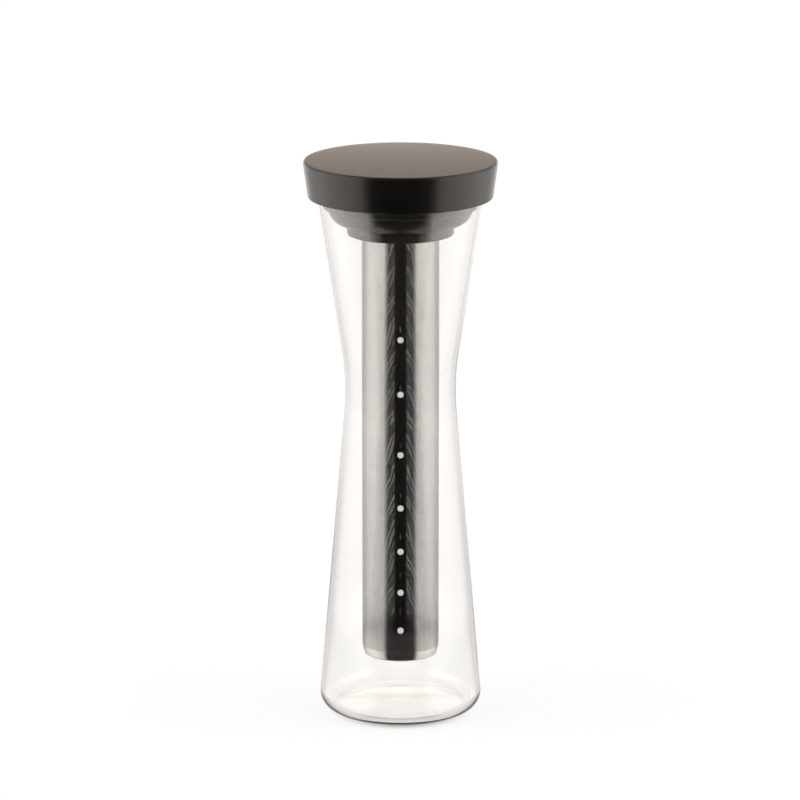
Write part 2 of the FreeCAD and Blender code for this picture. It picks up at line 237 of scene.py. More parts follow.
# Low light behind the object, where the floor rises into a warm backdrop: sine of the elevation, level.
BACKDROP = (
    (0.0, 2.4), (0.08, 2.0), (0.15, 0.9), (0.2, 0.3), (0.25, 0.2), (0.29, 1.15), (0.34, 1.15), (0.4, 0.8),
    (0.6, 0.3),
)
BACKDROP_TINT = (1.0, 0.88, 0.78)
BACKDROP_START = math.radians(115)  # angle from the front at which it begins
BACKDROP_END = math.radians(145)
FLOOR_RADIUS = 8
FLOOR_DROP = 0.1 * MM
FLOOR_COLOUR = (0.9, 0.9, 0.9, 1)
PICTURE_FLOOR = (0.2, 0.2, 0.2, 1)  # with FLOOR_LIFT, a white floor with a light shadow
FLOOR_LIFT = 0.84
# Floor as reflections see it: distance from the axis in metres, share of the panels above it.
FLOOR_SHARES = (
    (0.048, 0.95), (0.1, 1.05), (0.13, 0.66), (0.17, 0.64), (0.26, 0.8), (0.5, 0.82), (0.72, 0.95),
    (0.98, 1.02), (1.3, 1.2),
)
FLOOR_NEAR = 0.79  # level that they see close to the foot instead, all round, up to the next distances
NEAR_TINT = (1.0, 0.985, 0.965, 1)
NEAR_START = 40 * MM
NEAR_END = 48 * MM
GLASS_NEAR_START = 200 * MM  # and up to these where the glass itself mirrors the floor
GLASS_NEAR_END = 350 * MM
GLASS_FRONT_START = math.radians(44)  # but not in front of it, inwards of these angles
GLASS_FRONT_END = math.radians(20)
OWN_PASSES = 2.5  # light that the glass mirrors has gone through its faces less often than this
CONTACT_RADIUS = 38 * MM  # painted shadow of the foot on the floor, to the front, away from the backdrop
CONTACT_WIDTH = 5 * MM
CONTACT_SHADE = 0.55
PAINTED_GLOW_UNDER_GLASS = 0.2  # painted light: how much brighter the floor is painted inside the foot, standing in for light that the glass gathers
UNDER_GLASS_RADIUS = 0.9 * CONTACT_RADIUS
PAINTED_GLOW_BEHIND = 0.2  # and how much brighter it is painted in a streak from there to the back
GATHERED_START = 20 * MM
GATHERED_LENGTH = 160 * MM
GATHERED_WIDTH = 22 * MM  # half of the streak's width


# ---------------------------------------------------------------- mesh helpers

def unit(vector):
    """Vector scaled to length one."""
    return vector / np.linalg.norm(vector)


def arc_points(before, corner, after, radius):
    """Points of the arc that rounds a corner: it touches both sides, and its centre is on their bisector.

    The point at a share of the turn is the centre, plus the start times its cosine, plus the start turned a
    quarter times its sine.
    """
    back = unit(before - corner)
    ahead = unit(after - corner)
    half = math.acos(np.clip(back @ ahead, -1, 1)) / 2
    centre = corner + unit(back + ahead) * radius / math.sin(half)
    start = corner + back * radius / math.tan(half) - centre
    turn = math.pi - 2 * half
    if back[0] * ahead[1] - back[1] * ahead[0] > 0:
        turn = -turn
    steps = max(2, math.ceil(abs(turn) / ARC_STEP), math.ceil(abs(turn) * radius / RUN_STEP))
    angles = np.linspace(0, turn, steps + 1)[:, None]
    aside = np.array([-start[1], start[0]])
    return centre + start * np.cos(angles) + aside * np.sin(angles)


def profile(corners, closed=True):
    """Points (r, z) of an outline from corners (r, z) or (r, z, rounding radius), with long runs divided."""
    places = [np.array(corner[:2], float) for corner in corners]
    count = len(corners)
    runs = []
    for index, corner in enumerate(corners):
        if len(corner) == 3:
            runs.append(arc_points(places[index - 1], places[index], places[(index + 1) % count], corner[2]))
        else:
            runs.append(places[index][None])
    points = []
    for index, run in enumerate(runs):
        points.append(run)
        if index + 1 < count or closed:
            following = runs[(index + 1) % count][0]
            steps = max(1, math.ceil(np.linalg.norm(following - run[-1]) / RUN_STEP))
            shares = np.arange(1, steps)[:, None] / steps
            points.append(run[-1] + (following - run[-1]) * shares)
    return np.concatenate(points)


def volume_of(points, faces):
    """Signed volume inside triangles: the sum of the triple products of their corners, over six."""
    a, b, c = (points[faces[:, corner]] for corner in range(3))
    return np.einsum("ij,ij->i", a, np.cross(b, c)).sum() / 6


def mesh_piece(name, points, quads, triangles):
    """Object of a closed surface, smooth but for its creases, with its faces turned outwards."""
    split = np.concatenate([triangles, quads[:, [0, 1, 2]], quads[:, [0, 2, 3]]])
    if volume_of(points, split) < 0:
        quads = quads[:, ::-1]
        triangles = triangles[:, ::-1]
    mesh = bpy.data.meshes.new(name)
    mesh.from_pydata(points.tolist(), [], quads.tolist() + triangles.tolist())
    mesh.shade_smooth()
    mesh.set_sharp_from_angle(angle=CREASE)
    mesh.update()
    piece = bpy.data.objects.new(name, mesh)
    bpy.context.scene.collection.objects.link(piece)
    return piece


def ringed(name, rings, poles=None):
    """Closed surface over rings of points (ring, step, axis): its ends meet, or a pole shuts each of them."""
    count, steps = rings.shape[:2]
    first = np.arange(count if poles is None else count - 1)
    row, column = np.meshgrid(first, np.arange(steps), indexing="ij")
    next_row = (row + 1) % count
    next_column = (column + 1) % steps
    here = row * steps
    beyond = next_row * steps
    corners = [here + column, beyond + column, beyond + next_column, here + next_column]
    quads = np.stack(corners, axis=-1).reshape(-1, 4)
    points = rings.reshape(-1, 3)
    triangles = np.zeros((0, 3), int)
    if poles is not None:
        points = np.concatenate([points, poles])
        step = np.arange(steps)
        next_step = (step + 1) % steps
        last = (count - 1) * steps
        start_fan = np.stack([np.full(steps, count * steps), step, next_step], axis=-1)
        end_fan = np.stack([np.full(steps, count * steps + 1), last + next_step, last + step], axis=-1)
        triangles = np.concatenate([start_fan, end_fan])
    return mesh_piece(name, points, quads, triangles)


def turned(name, outline, shift=None):
    """Surface of revolution: the point of profile step i and angle step j is (r sin a, -r cos a, z).

    Its outline is closed, or its two ends lie on the axis, where each is one point. Shift adds to the radius
    as a function of the radius, level and angle.
    """
    angles = np.arange(ROUND_STEPS) * 2 * math.pi / ROUND_STEPS
    on_axis = outline[:, 0] < ON_AXIS
    radius = outline[~on_axis, 0][:, None] + 0 * angles
    level = outline[~on_axis, 1][:, None] + 0 * angles
    around = angles + 0 * radius
    if shift is not None:
        radius = radius + shift(radius, level, around)
    rings = np.stack([radius * np.sin(around), -radius * np.cos(around), level], axis=-1)
    poles = np.array([[0, 0, outline[0, 1]], [0, 0, outline[-1, 1]]]) if on_axis.any() else None
    return ringed(name, rings, poles)


# ---------------------------------------------------------------- node helpers

def feed(tree, socket, value):
    """Links a socket to another, or sets its value."""
    if isinstance(value, bpy.types.NodeSocket):
        tree.links.new(value, socket)
    else:
        socket.default_value = value


def node(tree, kind, inputs=None, **settings):
    """New node with its settings and inputs."""
    made = tree.nodes.new(kind)
    for name, value in settings.items():
        setattr(made, name, value)
    for name, value in (inputs or {}).items():
        feed(tree, made.inputs[name], value)
    return made


def maths(tree, operation, *values):
    """Output of a Math node."""
    made = node(tree, "ShaderNodeMath", operation=operation)
    for socket, value in zip(made.inputs, values):
        feed(tree, socket, value)
    return made.outputs[0]


def remap(tree, value, low, high, to_low=0.0, to_high=1.0, smooth=False):
    """Value carried from one range to another, held at the ends."""
    made = node(
        tree,
        "ShaderNodeMapRange",
        {"Value": value, "From Min": low, "From Max": high, "To Min": to_low, "To Max": to_high},
        interpolation_type="SMOOTHSTEP" if smooth else "LINEAR",
    )
    return made.outputs[0]


def ramp(tree, factor, stops, tint=(1, 1, 1)):
    """Ramp through stops (place, level), in one tint."""
    made = node(tree, "ShaderNodeValToRGB", {"Fac": factor})
    elements = made.color_ramp.elements
    while len(elements) < len(stops):
        elements.new(1)
    for element, (place, level) in zip(elements, stops):
        element.position = place
        element.color = tuple(level * part for part in tint) + (1,)
    return made.outputs[0]


def mixed(tree, factor, first, second):
    """Colour between two."""
    made = node(tree, "ShaderNodeMix", data_type="RGBA")
    feed(tree, made.inputs[0], factor)
    feed(tree, made.inputs[6], first)
    feed(tree, made.inputs[7], second)
    return made.outputs[2]


def mixed_value(tree, factor, first, second):
    """Number between two."""
    made = node(tree, "ShaderNodeMix", data_type="FLOAT")
    feed(tree, made.inputs[0], factor)
    feed(tree, made.inputs[2], first)
    feed(tree, made.inputs[3], second)
    return made.outputs[0]


def noise(tree, place, size, detail=2.0, stretch=(1, 1, 1)):
    """Noise with features of about a size in metres, drawn out along an axis by a stretch above one."""
    scale = tuple(1 / (size * part) for part in stretch)
    moved = node(tree, "ShaderNodeMapping", {"Vector": place, "Scale": scale})
    made = node(tree, "ShaderNodeTexNoise", {"Vector": moved.outputs[0], "Scale": 1.0, "Detail": detail})
    return made.outputs[0]


def bumped(tree, height, distance):
    """Normal of a height map, whose full height is a distance in metres."""
    made = node(tree, "ShaderNodeBump", {"Height": height, "Distance": distance, "Strength": 1.0})
    return made.outputs[0]


def material(name):
    """New node material: its tree, its Principled shader and its Object coordinates."""
    made = bpy.data.materials.new(name)
    made.use_nodes = True
    tree = made.node_tree
    tree.nodes.clear()
    shader = node(tree, "ShaderNodeBsdfPrincipled")
    output = node(tree, "ShaderNodeOutputMaterial")
    tree.links.new(shader.outputs[0], output.inputs["Surface"])
    place = node(tree, "ShaderNodeTexCoord").outputs["Object"]
    return made, tree, shader, place


def square(tree, value):
    """Value times itself."""
    return maths(tree, "MULTIPLY", value, value)


def cylinder_place(tree, place):
    """Angle from the front in radians, radius and level of a point."""
    x, y, z = node(tree, "ShaderNodeSeparateXYZ", {"Vector": place}).outputs
    angle = maths(tree, "ARCTAN2", x, maths(tree, "MULTIPLY", y, -1.0))
    radius = maths(tree, "SQRT", maths(tree, "ADD", square(tree, x), square(tree, y)))
    return angle, radius, z


# ---------------------------------------------------------------- materials

def satin_plastic(name, colour, roughness, ior, grain):
    """Near-black moulded plastic: a fine spark-eroded grain, faint flow marks and slightly rubbed patches."""
    made, tree, shader, place = material(name)
    flow = noise(tree, place, size=22 * MM, detail=3)
    patches = noise(tree, place, size=9 * MM, detail=4)
    spark = noise(tree, place, size=0.35 * MM, detail=3)
    darker = tuple(part * FLOW_DARK for part in colour) + (1,)
    paler = tuple(part * FLOW_PALE for part in colour) + (1,)
    feed(tree, shader.inputs["Base Color"], mixed(tree, remap(tree, flow, *NOISE_RANGE), darker, paler))
    rubbed = remap(tree, patches, *NOISE_RANGE, roughness - RUBBED, roughness + RUBBED)
    feed(tree, shader.inputs["Roughness"], rubbed)
    shader.inputs["IOR"].default_value = ior
    shader.inputs["Specular Tint"].default_value = PLASTIC_GLOSS_TINT
    feed(tree, shader.inputs["Normal"], bumped(tree, spark, grain))
    return made


def clear_glass():
    """Clear glass, a little warm, paler towards the foot, with a trace of haze."""
    made, tree, shader, place = material("clear_glass")
    angle, radius, level = cylinder_place(tree, place)
    low = remap(tree, level, GLASS_CLEAR_LEVEL, 0.0, smooth=True)
    at_foot = remap(tree, level, GLASS_FOOT_TOP, GLASS_FOOT_END, smooth=True)
    tone = mixed(tree, at_foot, mixed(tree, low, GLASS_ABOVE, GLASS_BELOW), GLASS_FOOT)
    feed(tree, shader.inputs["Base Color"], tone)
    shader.inputs["IOR"].default_value = 1.51
    shader.inputs["Transmission Weight"].default_value = 1.0
    haze = noise(tree, place, size=30 * MM, detail=4)
    feed(tree, shader.inputs["Roughness"], remap(tree, haze, *HAZE_RANGE, 0.0, HAZE_ROUGHNESS))
    return made


def enamel():
    """Printed light grey enamel with a slightly uneven face."""
    made, tree, shader, place = material("mark_enamel")
    blotch = noise(tree, place, size=0.6 * MM, detail=3)
    feed(tree, shader.inputs["Base Color"], mixed(tree, blotch, ENAMEL_DARK, ENAMEL_PALE))
    feed(tree, shader.inputs["Roughness"], remap(tree, blotch, *NOISE_RANGE, *ENAMEL_ROUGHNESS))
    feed(tree, shader.inputs["Normal"], bumped(tree, blotch, distance=0.01 * MM))
    return made


def silicone():
    """Near-black silicone with a satin skin and fine dust."""
    made, tree, shader, place = material("seal_silicone")
    cloud = noise(tree, place, size=6 * MM, detail=3)
    dust = noise(tree, place, size=0.25 * MM, detail=2)
    feed(tree, shader.inputs["Base Color"], mixed(tree, cloud, SILICONE_DARK, SILICONE_PALE))
    feed(tree, shader.inputs["Roughness"], remap(tree, dust, *NOISE_RANGE, *SILICONE_ROUGHNESS))
    shader.inputs["IOR"].default_value = 1.6
    feed(tree, shader.inputs["Normal"], bumped(tree, dust, distance=0.01 * MM))
    return made


def polished_steel(tree, shader, place, stretch):
    """Warm polished stainless steel: cloudy tone, and hairlines drawn out along the axes that stretch says."""
    cloud = noise(tree, place, size=12 * MM, detail=3)
    hair = noise(tree, place, size=0.25 * MM, detail=2, stretch=stretch)
    tone = mixed(tree, remap(tree, cloud, *NOISE_RANGE), STEEL_DARK, STEEL_PALE)
    feed(tree, shader.inputs["Base Color"], tone)
    shader.inputs["Metallic"].default_value = 1.0
    shader.inputs["Specular Tint"].default_value = STEEL_EDGE_TINT
    feed(tree, shader.inputs["Roughness"], remap(tree, hair, *NOISE_RANGE, *STEEL_ROUGHNESS))
    feed(tree, shader.inputs["Normal"], bumped(tree, hair, distance=0.0015 * MM))


def perforated_steel():
    """Steel sheet with holes too fine to see one by one.

    The light that comes through where holes of the near and the far wall fall together is painted as fixed arcs
    on the front, in the sheet's see-through share.
    Along an arc the level in pitches, plus turns times (1 - cos(centres times the angle)), is constant. The
    rest of the wall is evenly open, and the weld strip and both ends are plain. The sheet's inner face is
    clear where it has holes, so that each wall counts once.
    """
    made, tree, shader, place = material("perforated_steel")
    polished_steel(tree, shader, place, stretch=(1, 1, 40))
    angle, radius, level = cylinder_place(tree, place)
    turns = STREAK_TURNS / STREAK_CENTRES ** 2
    gathered = maths(tree, "COSINE", maths(tree, "MULTIPLY", angle, float(STREAK_CENTRES)))
    bend = maths(tree, "MULTIPLY", maths(tree, "SUBTRACT", 1.0, gathered), turns)
    wander = maths(tree, "MULTIPLY", noise(tree, place, size=14 * MM, detail=2), STREAK_WANDER)
    rise = maths(tree, "MULTIPLY", level, 1 / STREAK_PITCH)
    phase = maths(tree, "ADD", maths(tree, "ADD", rise, bend), wander)
    wave = maths(tree, "SINE", maths(tree, "MULTIPLY", phase, 2 * math.pi))
    ripple = maths(tree, "SINE", maths(tree, "MULTIPLY", phase, 2 * math.pi * STREAK_LINES))
    waves = maths(tree, "MULTIPLY_ADD", wave, STREAK_BROAD, ripple)
    painted_light_streak = remap(tree, waves, *STREAK_RANGE, smooth=True)
    fleck = noise(tree, place, size=2.2 * MM, detail=3, stretch=(1, 1, 4))
    uneven = remap(tree, fleck, *FLECK_RANGE, FLECK_LEAST, 1.0)
    painted_light_arcs = maths(tree, "MULTIPLY_ADD", maths(tree, "MULTIPLY", painted_light_streak, uneven), HOLES_OPEN, HOLES_SHUT)
    # The arcs of painted light through the holes are laid only on the front.
    front = remap(tree, maths(tree, "COSINE", angle), *HOLES_FRONT, smooth=True)
    open_share = mixed_value(tree, front, HOLES_BEHIND, painted_light_arcs)
    sideways = maths(tree, "ABSOLUTE", maths(tree, "MULTIPLY", angle, TUBE_RADIUS))
    beside_weld = remap(tree, sideways, PLAIN_STRIP / 2 - HOLES_EDGE, PLAIN_STRIP / 2 + HOLES_EDGE)
    above_foot = remap(tree, level, HOLES_FOOT, HOLES_FOOT + HOLES_FADE)
    below_top = remap(tree, level, HOLES_TOP + HOLES_TOP_EDGE, HOLES_TOP - HOLES_TOP_EDGE)
    field = maths(tree, "MULTIPLY", beside_weld, maths(tree, "MULTIPLY", above_foot, below_top))
    outer_face = maths(tree, "GREATER_THAN", radius, TUBE_RADIUS - TUBE_WALL / 2)
    clear_inside = maths(tree, "MAXIMUM", open_share, maths(tree, "SUBTRACT", 1.0, outer_face))
    see_through = maths(tree, "MULTIPLY", field, clear_inside)
    feed(tree, shader.inputs["Alpha"], maths(tree, "SUBTRACT", 1.0, see_through))
    return made


def plain_steel():
    """Drawn steel of the cup, with hairlines round it."""
    made, tree, shader, place = material("plain_steel")
    polished_steel(tree, shader, place, stretch=(6, 6, 1))
    return made


# ---------------------------------------------------------------- carafe

def outside_corners():
    """Corners of the outside of the carafe from the foot to the rim."""
    return [
        (BASE_RADIUS, 0, HEEL_ROUND),
        (WAIST_RADIUS, WAIST_LEVEL, WAIST_ROUND),
        (RIM_RADIUS, RIM_LEVEL, RIM_ROUND),
    ]


OUTSIDE = profile([(PUNT_RADIUS, 0)] + outside_corners() + [(RIM_RADIUS - RIM_WALL, RIM_LEVEL)], closed=False)


def glass_radius(level):
    """Outside radius of the carafe at a level."""
    return np.interp(level, OUTSIDE[:, 1], OUTSIDE[:, 0])


def wall_waves(radius, level, angle):
    """Slow waves of the blown wall's inside, which die away at the floor and at the rim.

    Each is the sine of the angle times its waves to a turn, plus the level times its radians to a metre, plus
    its start; they add up in their shares.
    """
    inside = radius < glass_radius(level) - GLASS_SKIN
    slow = sum(share * np.sin(count * angle + lean * level + start) for count, lean, start, share in WAVES)
    above_floor = np.clip((level - WAVE_START) / WAVE_FADE, 0, 1)
    below_rim = np.clip((RIM_LEVEL - level) / WAVE_FADE_RIM, 0, 1)
    return np.where(inside, GLASS_WAVE * slow * above_floor * below_rim, 0)


def carafe():
    """Hourglass carafe: two cones joined by an arc, a rounded heel, a thick floor and a fire-polished rim."""
    wall_at_floor = BASE_RADIUS + (WAIST_RADIUS - BASE_RADIUS) * FLOOR_THICKNESS / WAIST_LEVEL - HEEL_WALL
    outline = profile(
        [
            (0, PUNT_DEPTH),
            (PUNT_FLAT_RADIUS, PUNT_DEPTH, PUNT_ROUND),
            (PUNT_RADIUS, 0, PUNT_ROUND),
        ]
        + outside_corners()
        + [
            (RIM_RADIUS - RIM_WALL, RIM_LEVEL, RIM_ROUND),
            (WAIST_RADIUS - WAIST_WALL, WAIST_LEVEL, WAIST_ROUND),
            (wall_at_floor, FLOOR_THICKNESS, INNER_HEEL_ROUND),
            (0, FLOOR_THICKNESS),
        ],
        closed=False,
    )
    return turned("carafe_glass", outline, wall_waves)


def dot(number):
    """Enamel dot bent round the glass, on the front at its node's level: rings of a disc, closed at its back.

    At a share s of the disc's radius the face stands off the back by the height times the root of 1 - s^8.
    """
    low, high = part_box("volume_mark_%d" % number)
    middle = (low.z + high.z) / 2
    outwards = np.sin(np.linspace(0, math.pi / 2, DOT_RINGS + 1))
    share = np.concatenate([outwards, outwards[-2::-1]])[:, None]
    face = DOT_BACK + DOT_HEIGHT * np.sqrt(1 - outwards ** 8)
    lift = np.concatenate([face, np.full(DOT_RINGS, DOT_BACK)])[:, None]
    angles = np.arange(DOT_STEPS) * 2 * math.pi / DOT_STEPS
    across = DOT_RADIUS * share * np.cos(angles)
    level = middle + DOT_RADIUS * share * np.sin(angles)
    radius = glass_radius(level) + lift
    turn = across / radius
    points = np.stack([radius * np.sin(turn), -radius * np.cos(turn), level], axis=-1)
    return ringed("volume_dot_%d" % number, points[1:-1], points[[0, -1], 0])


# ---------------------------------------------------------------- lid

def lid_side(level):
    """Outside radius of the lid's side at a level."""
    return LID_CORNER_RADIUS - LID_TAPER * (LID_TOP - level) / (LID_TOP - LID_FOOT)


def lid_bore(level):
    """Inside radius of the lid's side at a level."""
    return lid_side(level) - LID_SIDE_WALL


def lid_shell():
    """Cap: a side that leans in downwards, a snap bead inside and a ring on the ceiling.

    From the middle to its rounded edge the top's level falls by the crown, with the square of the radius.
    """
    ceiling = LID_TOP - LID_TOP_WALL
    bead_top = STOPPER_TOP - STOPPER_FLANGE
    bead_foot = bead_top - BEAD_HEIGHT
    bead_middle = (bead_top + bead_foot) / 2
    ring_outer = WELD_RING_RADIUS + WELD_RING_WALL
    outline = profile([
        (0, ceiling),
        (WELD_RING_RADIUS, ceiling, INNER_EDGE_ROUND),
        (WELD_RING_RADIUS, STOPPER_TOP),
        (ring_outer, STOPPER_TOP),
        (ring_outer, ceiling, INNER_EDGE_ROUND),
        (lid_bore(ceiling), ceiling, CEILING_ROUND),
        (lid_bore(bead_top), bead_top),
        (lid_bore(bead_middle) - BEAD_WIDTH, bead_middle, INNER_EDGE_ROUND),
        (lid_bore(bead_foot), bead_foot),
        (lid_bore(LID_FOOT), LID_FOOT, INNER_EDGE_ROUND),
        (lid_side(LID_FOOT), LID_FOOT, LID_EDGE_ROUND),
        (lid_side(LID_TOP), LID_TOP - LID_CROWN, LID_TOP_ROUND),
        (0, LID_TOP - LID_CROWN),
    ], closed=False)
    top = outline[:, 1] > LID_TOP - LID_CROWN - ON_TOP
    outline[top, 1] += LID_CROWN * (1 - (outline[top, 0] / outline[top, 0].max()) ** 2)
    return turned("lid_shell", outline)


def lip_reach(level):
    """Radius of a seal lip's edge, just clear of the glass at a level."""
    share = (level - WAIST_LEVEL) / (RIM_LEVEL - WAIST_LEVEL)
    return glass_radius(level) - WAIST_WALL - (RIM_WALL - WAIST_WALL) * share - LIP_GAP


def seal_ring():
    """Soft sleeve round the stopper with two rounded lips, the upper one carried up to a flange on the rim."""
    sleeve = SEAL_INNER + SEAL_WALL
    upper = SEAL_FOOT + LIP_PITCH
    flange_foot = RIM_LEVEL + SEAT_GAP
    return turned("seal_ring", profile([
        (SEAL_INNER, SEAL_FOOT),
        (lip_reach(SEAL_FOOT), SEAL_FOOT, LIP_ROUND),
        (lip_reach(SEAL_FOOT), SEAL_FOOT + LIP_HEIGHT, LIP_ROUND),
        (sleeve, SEAL_FOOT + LIP_HEIGHT, SEAL_ROUND),
        (sleeve, upper, SEAL_ROUND),
        (lip_reach(upper), upper, LIP_ROUND),
        (lip_reach(upper), flange_foot, SEAL_ROUND),
        (SEAL_RADIUS, flange_foot, SEAL_ROUND),
        (SEAL_RADIUS, SEAL_TOP, SEAL_ROUND),
        (SEAL_INNER, SEAL_TOP),
    ]))


# ---------------------------------------------------------------- filter

def weld_bead(radius, level, angle):
    """Low bead of the ground weld down the front: a bell curve of the distance from the front line."""
    away = np.minimum(angle, 2 * math.pi - angle) * TUBE_RADIUS
    outside = radius > TUBE_RADIUS - TUBE_WALL / 2
    return np.where(outside, SEAM_HEIGHT * np.exp(-(away / (SEAM_WIDTH / 2)) ** 2), 0)


def tube():
    """Thin tube, a turned rectangle open at both ends, with eased edges and the weld down its front."""
    inner = TUBE_RADIUS - TUBE_WALL
    outer = TUBE_RADIUS - SEAM_HEIGHT
    return turned("filter_sleeve", profile([
        (inner, TUBE_FOOT),
        (outer, TUBE_FOOT, JOIN_GROOVE),
        (outer, TUBE_TOP, TUBE_END_ROUND),
        (inner, TUBE_TOP),
    ]), weld_bead)


def cup():
    """Drawn cup that closes the tube, turned, with a rounded edge and a spigot inside the tube."""
    spigot = TUBE_RADIUS - TUBE_WALL - FIT_GAP
    inner = spigot - SPIGOT_WALL
    floor = CUP_FOOT + TUBE_WALL
    outer = TUBE_RADIUS - SEAM_HEIGHT
    return turned("filter_cup", profile([
        (0, CUP_FOOT),
        (outer - CUP_TAPER, CUP_FOOT, CUP_ROUND),
        (outer - CUP_LEAN, CUP_FOOT + CUP_BEND, CUP_BEND_ROUND),
        (outer, TUBE_FOOT, JOIN_GROOVE),
        (spigot, TUBE_FOOT),
        (spigot, TUBE_FOOT + SPIGOT_HEIGHT),
        (inner, TUBE_FOOT + SPIGOT_HEIGHT),
        (inner, TUBE_FOOT),
        (inner - CUP_INNER_TAPER, floor, CUP_INNER_ROUND),
        (0, floor),
    ], closed=False))


# ---------------------------------------------------------------- studio

def picture_ray(tree):
    """1 for rays that draw the background, straight from the camera or through glass, and 0 for all others."""
    path = node(tree, "ShaderNodeLightPath").outputs
    unreflected = maths(tree, "LESS_THAN", path["Glossy Depth"], 0.5)
    undiffused = maths(tree, "LESS_THAN", path["Diffuse Depth"], 0.5)
    straight = maths(tree, "MULTIPLY", unreflected, undiffused)
    through = maths(tree, "MULTIPLY", path["Is Transmission Ray"], straight)
    return maths(tree, "MAXIMUM", path["Is Camera Ray"], through)


def turn_from_front(tree, x, y):
    """Angle from the front, to either side, of a direction or of a place on the floor."""
    return maths(tree, "ABSOLUTE", maths(tree, "ARCTAN2", x, maths(tree, "MULTIPLY", y, -1.0)))


def panels(tree, turn, least=0.0):
    """Share of the panels' light at an angle from the front, nowhere below a least level."""
    share = maths(tree, "MULTIPLY", turn, 1 / math.pi)
    return ramp(tree, share, [(degrees / 180, max(level, least)) for degrees, level in PANELS], PANEL_TINT)


def levels(tree, value, stops, tint=(1, 1, 1)):
    """Levels along a value of any range, as stops (value, level) of up to a few units."""
    first = stops[0][0]
    span = stops[-1][0] - first
    most = max(level for place, level in stops)
    share = remap(tree, value, first, first + span)
    shades = ramp(tree, share, [((place - first) / span, level / most) for place, level in stops], tint)
    return shades, most


def studio_world():
    """White background, and for light and reflections a ring of soft panels that is open at the front."""
    world = bpy.data.worlds.new("studio")
    bpy.context.scene.world = world
    world.use_nodes = True
    tree = world.node_tree
    tree.nodes.clear()
    direction = node(tree, "ShaderNodeTexCoord").outputs["Generated"]
    x, y, z = node(tree, "ShaderNodeSeparateXYZ", {"Vector": direction}).outputs
    turn = turn_from_front(tree, x, y)
    overhead = PANEL_LEVEL * OVERHEAD
    fade = remap(tree, z, math.sin(PANEL_TOP), math.sin(PANEL_END), PANEL_LEVEL, overhead, smooth=True)
    ring = node(tree, "ShaderNodeBackground", {"Color": panels(tree, turn, GAP_LEVEL), "Strength": fade})
    shades, most = levels(tree, z, BACKDROP, BACKDROP_TINT)
    backdrop = node(tree, "ShaderNodeBackground", {"Color": shades, "Strength": most})
    behind = remap(tree, turn, BACKDROP_START, BACKDROP_END, smooth=True)
    low = remap(tree, z, BACKDROP[-1][0], BACKDROP[-2][0], smooth=True)
    light = node(tree, "ShaderNodeMixShader", {"Fac": maths(tree, "MULTIPLY", behind, low)})
    tree.links.new(ring.outputs[0], light.inputs[1])
    tree.links.new(backdrop.outputs[0], light.inputs[2])
    white = node(tree, "ShaderNodeBackground", {"Color": (1, 1, 1, 1), "Strength": 1.0})
    both = node(tree, "ShaderNodeMixShader", {"Fac": picture_ray(tree)})
    tree.links.new(light.outputs[0], both.inputs[1])
    tree.links.new(white.outputs[0], both.inputs[2])
    output = node(tree, "ShaderNodeOutputWorld")
    tree.links.new(both.outputs[0], output.inputs["Surface"])


def bell(tree, value, width):
    """Bell curve: one over e to the square of the value in widths."""
    shares = maths(tree, "MULTIPLY", value, 1 / width)
    return maths(tree, "EXPONENT", maths(tree, "MULTIPLY", square(tree, shares), -1.0))


def floor_shade(tree, x, y, turn, distance):
    """Painted light and shade on the floor as seen, around 1: a painted glow under the glass and in a streak
    behind it, a painted shadow in front.
    """
    # Painted shadow on the floor in front of the foot.
    past_contact = maths(tree, "SUBTRACT", distance, CONTACT_RADIUS)
    front = remap(tree, turn, math.pi / 2, 0.0, smooth=True)
    front = maths(tree, "MULTIPLY", front, maths(tree, "GREATER_THAN", past_contact, 0.0))
    contact = maths(tree, "MULTIPLY", bell(tree, past_contact, CONTACT_WIDTH), front)
    # Painted glow under the glass and in a streak behind it.
    within = remap(tree, distance, CONTACT_RADIUS, UNDER_GLASS_RADIUS, 1.0, 1.0 + PAINTED_GLOW_UNDER_GLASS)
    begin = remap(tree, y, 0.0, GATHERED_START)
    end = remap(tree, y, GATHERED_LENGTH, GATHERED_LENGTH / 2)
    painted_light_streak = maths(tree, "MULTIPLY", bell(tree, x, GATHERED_WIDTH), maths(tree, "MULTIPLY", begin, end))
    bright = maths(tree, "MULTIPLY_ADD", painted_light_streak, PAINTED_GLOW_BEHIND, within)
    return maths(tree, "MULTIPLY_ADD", contact, -CONTACT_SHADE, bright)


def mirrored_floor(tree, path, turn, distance):
    """Shader of the floor in reflections: the panels carried on over it, and a plain level near the foot."""
    shades, most = levels(tree, distance, FLOOR_SHARES)
    far = node(tree, "ShaderNodeEmission", {"Color": panels(tree, turn)})
    feed(tree, far.inputs["Strength"], maths(tree, "MULTIPLY", shades, PANEL_LEVEL * most))
    near = node(tree, "ShaderNodeEmission", {"Color": NEAR_TINT, "Strength": FLOOR_NEAR})
    past = remap(tree, distance, NEAR_START, NEAR_END, smooth=True)
    past_glass = remap(tree, distance, GLASS_NEAR_START, GLASS_NEAR_END, smooth=True)
    front = remap(tree, turn, GLASS_FRONT_START, GLASS_FRONT_END, smooth=True)
    past_glass = maths(tree, "MAXIMUM", past_glass, maths(tree, "MULTIPLY", past, front))
    on_glass = maths(tree, "LESS_THAN", path["Transmission Depth"], OWN_PASSES)
    mirrored = node(tree, "ShaderNodeMixShader", {"Fac": mixed_value(tree, on_glass, past, past_glass)})
    tree.links.new(near.outputs[0], mirrored.inputs[1])
    tree.links.new(far.outputs[0], mirrored.inputs[2])
    return mirrored


